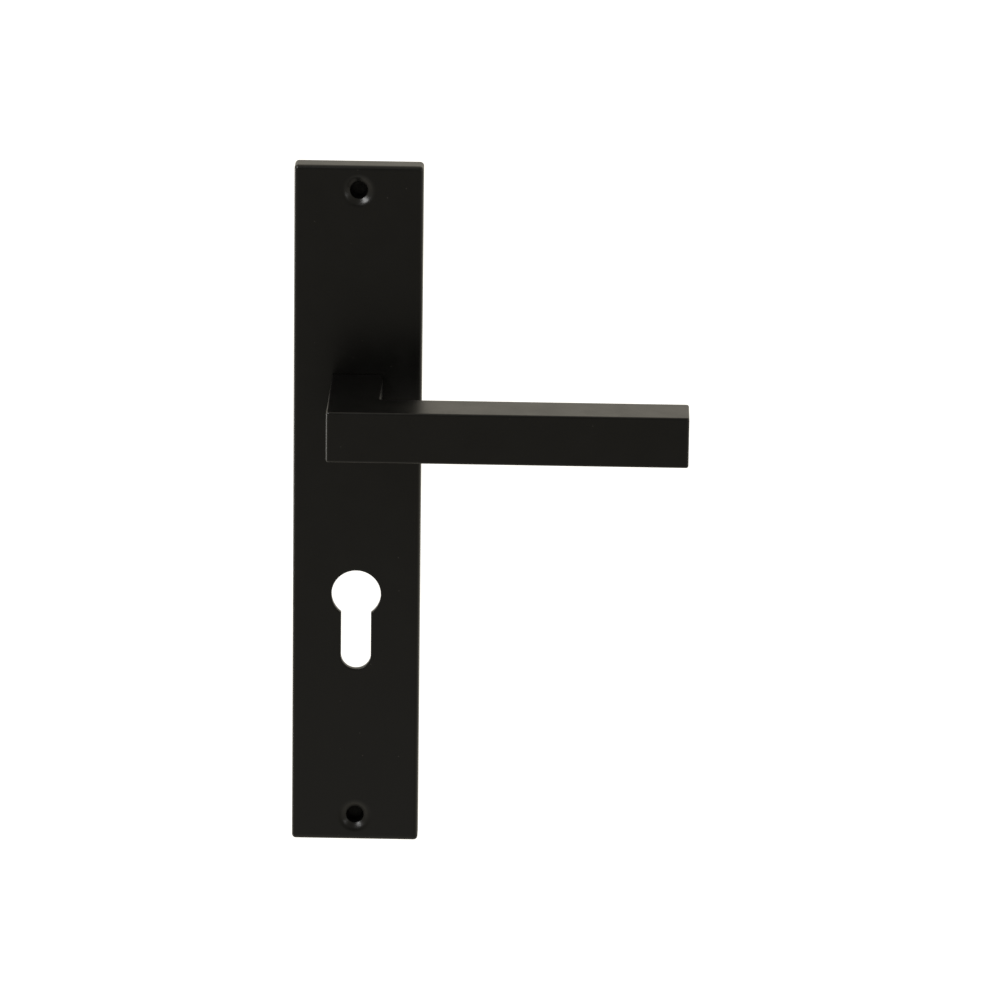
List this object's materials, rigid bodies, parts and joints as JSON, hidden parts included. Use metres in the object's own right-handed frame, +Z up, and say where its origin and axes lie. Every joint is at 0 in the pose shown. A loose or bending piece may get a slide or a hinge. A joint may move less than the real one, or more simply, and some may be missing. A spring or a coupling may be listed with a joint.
{
  "type": "lever door handle on long backplate",
  "caption": "Square-section lever handle on a flat rectangular backplate with a profile cylinder cut-out, a sprung bearing behind the plate and a square spindle.",
  "frame": {"origin": "on the spindle axis, in the plane where the plate's back rim meets the door", "axes": "+X towards the lever's free end, -Y towards the user and +Y into the door, +Z up"},
  "size_m": [0.1385, 0.122, 0.248],
  "materials": {
    "black_coat": "satin black powder coat with a fine texture, on a cast zinc alloy",
    "black_nylon": "moulded black nylon",
    "white_nylon": "moulded natural nylon",
    "cast_zinc": "bare die-cast zinc alloy, dull grey",
    "zinc_plated_steel": "bright zinc plate",
    "spring_steel": "drawn spring wire, lightly oiled",
    "dark_steel": "black-oxide steel"
  },
  "bodies": {
    "plate": {"backplate": "black_coat", "screw_retainer_upper": "black_nylon", "screw_retainer_lower": "black_nylon", "neck_bush": "white_nylon", "spring_housing": "cast_zinc", "housing_screw_1": "zinc_plated_steel", "housing_screw_2": "zinc_plated_steel", "housing_screw_3": "zinc_plated_steel", "housing_screw_4": "zinc_plated_steel", "stop_pin_level": "zinc_plated_steel", "stop_pin_down": "zinc_plated_steel", "spring_guide": "white_nylon", "return_spring": "spring_steel"},
    "lever": {"lever_handle": "black_coat", "spindle": "zinc_plated_steel", "grub_screw": "dark_steel", "drive_cam": "zinc_plated_steel", "thrust_washer": "zinc_plated_steel", "wave_washer": "spring_steel", "retaining_ring": "dark_steel"}
  },
  "joints": [
    {"name": "lever_turn", "type": "hinge", "parent": "plate", "child": "lever", "pos_m": [0, 0, 0], "axis": [0, 1, 0], "range_deg": [0, 45], "stiffness_Nm_per_rad": 0.8, "springref_deg": -40.11, "deforming": ["return_spring"]}
  ]
}
